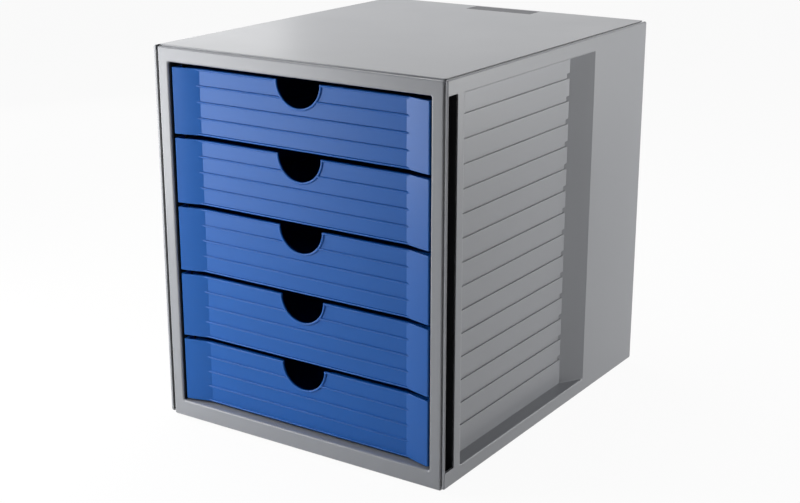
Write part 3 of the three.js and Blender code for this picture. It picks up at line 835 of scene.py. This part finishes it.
def wall_mesh(sizes):
    """The wall's plan, drawn up to its height, with the runners drawn out of it."""
    low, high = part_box("right_runner_wall")
    plate, reach, lip = 2 * MM, 7 * MM, 1.2 * MM
    inner = low.x + reach
    frame_low, frame_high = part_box("front_frame")
    # The wall's black lip fills the groove between frame and side panel just behind its front. It
    # is painted shade: a dark part put where the groove is only in shadow.
    front = frame_low.y + sizes.frame_thickness + SEAM
    shade_lip_front, shade_lip_rear = frame_low.y + sizes.shade_lip_setback, front + lip
    shade_lip_inner, shade_lip_outer = frame_high.x + SEAM, high.x + 0.2 * MM
    # The wall runs forward to the frame as a black liner of the opening. Its black partly stands in
    # for the shadow inside the opening: painted shade.
    near_inner = 123.8 * MM
    web_front, web_rear = -149 * MM, -147 * MM
    places = (
        (near_inner, front), (shade_lip_inner, front), (shade_lip_inner, shade_lip_front), (shade_lip_outer, shade_lip_front),
        (shade_lip_outer, shade_lip_rear), (near_inner + plate, shade_lip_rear), (near_inner + plate, web_front),
        (high.x, web_front), (high.x, web_rear), (inner + plate, web_rear),
        (inner + plate, high.y), (inner, high.y), (inner, web_front), (near_inner, web_front))
    bm = prism(places, low.z, high.z)

    thick, rear_gap = 3 * MM, 2 * MM
    runner_tops = [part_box(f"drawer_tray_{n}")[0].z - SEAM for n in DRAWERS]
    pitch = runner_tops[0] - runner_tops[1]
    runner_tops.insert(0, runner_tops[0] + pitch)
    stop_face = web_rear + 2 * MM
    stop_low, stop_high, stop_out = 6 * MM, 26 * MM, 1.8 * MM
    strips = [(web_rear, high.y - rear_gap, top - thick, top, reach) for top in runner_tops]
    strips += [
        (web_rear, stop_face, top + stop_low, top + stop_high, stop_out)
        for top in runner_tops[1:]]
    for near, far, bottom, top, out in strips:
        faces = [
            f for f in bm.faces
            if all(abs(v.co.x - inner) < TINY for v in f.verts)
            and min(v.co.z for v in f.verts) < bottom < max(v.co.z for v in f.verts)
            and min(v.co.y for v in f.verts) < far - TINY
            and max(v.co.y for v in f.verts) > near + TINY]
        parts = with_parts(faces)
        for axis, place in ((2, bottom), (2, top), (1, near), (1, far)):
            parts = cut_at(bm, parts, axis, place)
        chosen = [
            f for f in of_kind(parts, bmesh.types.BMFace)
            if bottom < f.calc_center_median().z < top and near < f.calc_center_median().y < far]
        draw_out(bm, chosen, (-out, 0, 0))
    return bm


class FILEDRAWER_OT_runner_walls(Builder, bpy.types.Operator):
    """Builds the inner side walls with the runners, guides and stop ribs of the drawers"""

    bl_idname = "file_drawer.runner_walls"
    bl_label = "Runner walls"

    def build(self, scene):
        for side, mirror in (("right", 1), ("left", -1)):
            place_piece(
                wall_mesh(scene.housing_sizes), f"{side}_runner_wall", "housing", "runner_black",
                runner_plastic(scene), Matrix.Diagonal((mirror, 1, 1, 1)), bevel=0.25 * MM)


class FILEDRAWER_OT_top_plate(Builder, bpy.types.Operator):
    """Builds the bare plate that is let into the top"""

    bl_idname = "file_drawer.top_plate"
    bl_label = "Top plate"

    def build(self, scene):
        low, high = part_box("top_plate")
        sides = (low.x, high.x, low.y, high.y)
        corner = 0.8 * MM
        bm = bmesh.new()
        outer = [rectangle_loop(bm, sides, low.z, corner)]
        outer += rounded_rim(bm, sides, high.z, 0.25 * MM, corner)
        loft(bm, outer)
        cap(bm, outer[0])
        cap(bm, outer[-1])
        place_piece(
            bm, "top_plate", "housing", "plate_grey", plate_finish(scene), kind="sheet")


class FILEDRAWER_OT_feet(Builder, bpy.types.Operator):
    """Builds the four rubber feet, each with a rounded tread and a shallow dimple under it"""

    bl_idname = "file_drawer.feet"
    bl_label = "Feet"

    def build(self, scene):
        for name in FEET:
            low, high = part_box(name)
            middle = (low + high) / 2
            radius = (high.x - low.x) / 2
            tread = 1.4 * MM
            dimple, depth = 3 * MM, 0.5 * MM
            profile = [
                (0, high.z), (radius, high.z),
                *[(radius - inset, low.z + drop) for inset, drop in quarter_round(tread)],
                (dimple, low.z), (dimple - depth, low.z + depth), (0, low.z + depth)]
            bm = turned([(x, 0, z) for x, z in profile], (0, 0, 0), (0, 0, 1), FOOT_STEPS)
            bmesh.ops.translate(bm, vec=(middle.x, middle.y, 0), verts=bm.verts)
            place_piece(
                bm, name, "housing", "foot_rubber", rubber_finish(scene), kind="rubber")


def hollow(sizes, low, high, back):
    """The room behind the upper edge, which follows the face."""
    flat = low.y + sizes.hollow_depth
    flat_half = high.x - sizes.hollow_end
    wall = sizes.top_wall
    room = 4.5 * MM
    end = high.x - 2 * wall
    end_depth = flat - sizes.hollow_depth * (end - flat_half) / sizes.hollow_end + wall
    places = (
        (end, end_depth), (end, back + PAST), (-end, back + PAST), (-end, end_depth),
        (-flat_half, flat + wall), (flat_half, flat + wall))
    return prism(places, high.z - room, high.z + PAST)


def beaded_body(sizes, low, high):
    """The front's plan drawn up to its height, cut across at the beads and pushed out there."""
    flat = low.y + sizes.hollow_depth
    back = flat + sizes.thickness
    flat_half = high.x - sizes.hollow_end
    slope_width = sizes.hollow_end - sizes.end_round
    # The beads' ends run out in the slope's first part, which therefore has finer steps.
    tip_end, tip_steps, rest_steps = 0.18, 8, 6
    shares = [tip_end * step / tip_steps for step in range(tip_steps)]
    shares += [tip_end + (1 - tip_end) * step / rest_steps for step in range(rest_steps + 1)]
    half = [
        (flat_half + slope_width * share,
         flat - sizes.hollow_depth * share - 4 * sizes.bulge * share * (1 - share))
        for share in shares]
    half += [
        (high.x - inset, low.y + drop)
        for inset, drop in reversed(quarter_round(sizes.end_round))][1:]
    places = [*half, (high.x, back), (-high.x, back), *[(-x, y) for x, y in reversed(half)]]
    bm = prism(places, low.z, high.z)

    radius = sizes.bead_height / 2
    pitch = (high.z - low.z - sizes.bead_height) / (sizes.bead_count - 1)
    middles = [low.z + radius + bead * pitch for bead in range(sizes.bead_count)]
    bead_steps = 12
    angles = [math.pi * step / bead_steps for step in range(bead_steps + 1)]
    for middle in middles:
        for angle in angles:
            place = middle - radius * math.cos(angle)
            if low.z + TINY < place < high.z - TINY:
                cut_at(bm, [*bm.verts, *bm.edges, *bm.faces], 2, place)
    for vert in bm.verts:
        if vert.co.y > back - sizes.thickness / 2:
            continue
        edge = min(vert.co.z - low.z, high.z - vert.co.z)
        lack = max(0.0, sizes.edge_round - edge)
        fall = sizes.edge_round - math.sqrt(sizes.edge_round ** 2 - lack ** 2)
        away = min(abs(vert.co.z - middle) for middle in middles) / radius
        bead = flat - sizes.bead_proud * math.sqrt(max(0.0, 1 - away ** 2))
        vert.co.y = min(vert.co.y + fall, bead if away < 1 else flat)
    return bm


def notch_rim(sizes, flat, top):
    """A half-round bar bent round the notch."""
    steps, bend_steps = 10, 48
    rim_radius = 1.1 * MM
    centre = sizes.notch_radius + sizes.rim - rim_radius
    root = flat + sizes.thickness / 2
    angles = [math.pi * step / steps for step in range(steps + 1)]
    profile = [
        (centre - rim_radius * math.cos(a), flat - sizes.bead_proud * math.sin(a)) for a in angles]
    profile += [(centre + rim_radius, root), (centre - rim_radius, root)]
    bm = bmesh.new()
    verts = [bm.verts.new((x, y, top)) for x, y in profile]
    bmesh.ops.contextual_create(bm, geom=verts)
    bmesh.ops.spin(
        bm, geom=[*bm.verts, *bm.edges, *bm.faces], cent=(0, flat, top), axis=(0, 1, 0),
        angle=math.pi, steps=bend_steps)
    return bm


class FILEDRAWER_OT_drawer_fronts(Builder, bpy.types.Operator):
    """Builds the five drawer fronts: hollowed face, beads, rimmed finger notch, clip tongues"""

    bl_idname = "file_drawer.drawer_fronts"
    bl_label = "Drawer fronts"

    def build(self, scene):
        sizes = scene.drawer_sizes
        low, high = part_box("drawer_front_1")
        flat = low.y + sizes.hollow_depth
        back = flat + sizes.thickness
        # Behind its upper edge the front is hollow, so that only a thin wall shows above the gap.
        room = hollow(sizes, low, high, back)
        bm = combined(beaded_body(sizes, low, high), room, "DIFFERENCE")
        bm = combined(bm, notch_rim(sizes, flat, high.z), "UNION")
        middle = (low.z + high.z) / 2
        half_width = sizes.tongue_width / 2
        half_thick = sizes.tongue_thickness / 2
        for place in (-sizes.tongue_offset, sizes.tongue_offset):
            tongue = block(
                (place - half_width, back - PAST, middle - half_thick),
                (place + half_width, high.y, middle + half_thick))
            bm = combined(bm, tongue, "UNION")
        # Only the notch's edge is as thick as a wall. Behind it the notch is wider, so that its
        # inside stays dark.
        radius = sizes.notch_radius
        wide = radius + sizes.notch_undercut
        near, edge_back, far = low.y, flat + sizes.notch_edge, high.y + PAST
        profile = (
            (0, near), (radius, near), (radius, edge_back), (wide, edge_back), (wide, far),
            (0, far))
        bm = combined(bm, notch_cutter(profile, high.z), "DIFFERENCE")
        place_in_drawers(bm, "drawer_front", "drawer_blue", drawer_plastic(scene), sharp=18.0)


class FILEDRAWER_OT_drawer_trays(Builder, bpy.types.Operator):
    """Builds the five trays, each an open box with a notch, two tongue slots and two lugs"""

    bl_idname = "file_drawer.drawer_trays"
    bl_label = "Drawer trays"

    def build(self, scene):
        sizes = scene.drawer_sizes
        low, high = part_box("drawer_tray_1")
        front_low, front_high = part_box("drawer_front_1")
        wall = sizes.tray_wall
        side = high.x - sizes.lug_reach
        sides = (-side, side, low.y, high.y)
        bm = bmesh.new()
        outer = [rectangle_loop(bm, sides, height, sizes.tray_corner) for height in (low.z, high.z)]
        inner = [
            rectangle_loop(bm, sides, height, sizes.tray_corner - wall / 2, -wall)
            for height in (high.z, low.z + wall)]
        loft(bm, outer)
        loft(bm, inner)
        cap(bm, outer[0])
        cap(bm, outer[-1], inner[0])
        cap(bm, inner[-1])

        near, far = low.y - PAST, low.y + wall + PAST
        radius = sizes.notch_radius + sizes.notch_undercut
        notch = notch_cutter(((0, near), (radius, near), (radius, far), (0, far)), front_high.z)
        bm = combined(bm, notch, "DIFFERENCE")
        middle = (front_low.z + front_high.z) / 2
        half_width = sizes.tongue_width / 2 + sizes.tongue_gap
        half_thick = sizes.tongue_thickness / 2 + sizes.tongue_gap
        lug_far = high.y - sizes.lug_margin
        lug_low = low.z + sizes.lug_rise
        for hand in (-1, 1):
            place = hand * sizes.tongue_offset
            slot = block(
                (place - half_width, near, middle - half_thick),
                (place + half_width, far, middle + half_thick))
            bm = combined(bm, slot, "DIFFERENCE")
            ends = sorted((hand * (side - wall / 2), hand * high.x))
            lug = block(
                (ends[0], lug_far - sizes.lug_length, lug_low),
                (ends[1], lug_far, lug_low + sizes.lug_height))
            bm = combined(bm, lug, "UNION")
        place_in_drawers(bm, "drawer_tray", "tray_blue", drawer_plastic(scene), bevel=0.3 * MM)


def light_air(scene):
    """The world: faint light from all round, and a backdrop that darkens above its white sweep."""
    settings = scene.studio
    world = bpy.data.worlds.new("studio_air")
    world.use_nodes = True
    tree = world.node_tree
    tree.nodes.clear()
    air = add_node(tree, "Background", {"Color": WHITE, "Strength": settings.ambient})
    direction = add_node(tree, "TexCoord").outputs["Generated"]
    height = add_node(tree, "SeparateXYZ", {"Vector": direction}).outputs["Z"]
    fade = add_node(tree, "MapRange", {
        "Value": height, "From Min": FADE_FROM, "From Max": FADE_TO,
        "To Min": settings.backdrop, "To Max": settings.backdrop * settings.ceiling
    }, interpolation_type="SMOOTHSTEP")
    backdrop = add_node(tree, "Background", {"Color": WHITE, "Strength": fade.outputs["Result"]})
    mixed = add_node(tree, "MixShader", {
        0: studio_ray(tree), 1: air.outputs[0], 2: backdrop.outputs[0]})
    add_node(tree, "OutputWorld", {"Surface": mixed.outputs[0]})
    scene.world = world


class FILEDRAWER_OT_studio(Builder, bpy.types.Operator):
    """Builds the floor, the soft lamps, the surroundings and the camera"""

    bl_idname = "file_drawer.studio"
    bl_label = "Studio"

    def build(self, scene):
        settings = scene.studio
        reach = 12.0
        bm = bmesh.new()
        bmesh.ops.create_grid(bm, x_segments=8, y_segments=8, size=reach)
        floor = add_mesh_object("studio_floor", bm)
        floor.data.materials.append(floor_finish(scene))

        # Each lamp's place, the width of its square and what it is aimed at.
        middle = (0.0, 0.0, 0.16)
        lamps = {
            "key": ((-0.46, -0.42, 0.29), 0.5, middle),
            "right": ((1.05, 0.70, 0.25), 0.7, middle),
            "rear": ((0.95, 0.95, 0.35), 0.7, middle),
            "left": ((-1.12, 0.68, 0.48), 0.77, middle),
            "top": ((-0.35, 0.15, 1.2), 0.7, middle),
            "front": ((-0.5, -0.8, 0.06), 0.4, middle),
            "paper": ((-0.30, -0.75, 0.45), 0.6, (-0.30, -0.75, 0.0))}
        for name, (place, width, aim) in lamps.items():
            lamp = bpy.data.lights.new(f"{name}_lamp", "AREA")
            lamp.energy = getattr(settings, name)
            lamp.shape = "SQUARE"
            lamp.size = width
            holder = add_object(f"{name}_lamp", lamp)
            holder.location = place
            sight = Vector(aim) - Vector(place)
            holder.rotation_euler = sight.to_track_quat("-Z", "Y").to_euler()
            holder.visible_camera = False
        light_air(scene)

        view = bpy.data.cameras.new("photo_camera")
        view.sensor_width = 36.0
        view.lens = settings.lens
        holder = add_object("photo_camera", view)
        holder.location = (0.6635, -1.0196, 0.5106)
        holder.rotation_euler = (math.radians(72.54), 0.0, math.radians(33.53))
        scene.camera = holder
        scene.view_settings.view_transform = "Standard"


class FILEDRAWER_PT_builder(bpy.types.Panel):
    """Lists the steps that build the file drawer, with their settings"""

    bl_label = "File drawer"
    bl_idname = "FILEDRAWER_PT_builder"
    bl_space_type = "VIEW_3D"
    bl_region_type = "UI"
    bl_category = "File drawer"

    def draw(self, context):
        column = self.layout.column()
        for operator in OPERATORS:
            column.operator(operator.bl_idname)
        for name, kind in GROUPS.items():
            group = getattr(context.scene, name)
            box = self.layout.box()
            for setting in kind.__annotations__:
                box.prop(group, setting, text=setting.replace("_", " ").capitalize())


OPERATORS = (
    FILEDRAWER_OT_studio,
    FILEDRAWER_OT_front_frame,
    FILEDRAWER_OT_top_panel,
    FILEDRAWER_OT_base_panel,
    FILEDRAWER_OT_rear_panel,
    FILEDRAWER_OT_side_panels,
    FILEDRAWER_OT_runner_walls,
    FILEDRAWER_OT_top_plate,
    FILEDRAWER_OT_feet,
    FILEDRAWER_OT_drawer_fronts,
    FILEDRAWER_OT_drawer_trays,
)
GROUPS = {
    "housing_sizes": HousingSizes,
    "drawer_sizes": DrawerSizes,
    "finishes": Finishes,
    "studio": StudioSettings,
}


def register():
    """Makes the groups, the operators and the panel known to Blender."""
    for name, group in GROUPS.items():
        bpy.utils.register_class(group)
        setattr(bpy.types.Scene, name, bpy.props.PointerProperty(type=group))
    for kind in (*OPERATORS, FILEDRAWER_PT_builder):
        bpy.utils.register_class(kind)


def unregister():
    """Takes back what register made known."""
    for kind in reversed((*OPERATORS, FILEDRAWER_PT_builder)):
        bpy.utils.unregister_class(kind)
    for name, group in GROUPS.items():
        delattr(bpy.types.Scene, name)
        bpy.utils.unregister_class(group)


def main():
    """Builds every piece in order."""
    register()
    for operator in OPERATORS:
        group, name = operator.bl_idname.split(".")
        getattr(getattr(bpy.ops, group), name)()


if __name__ == "__main__":
    main()
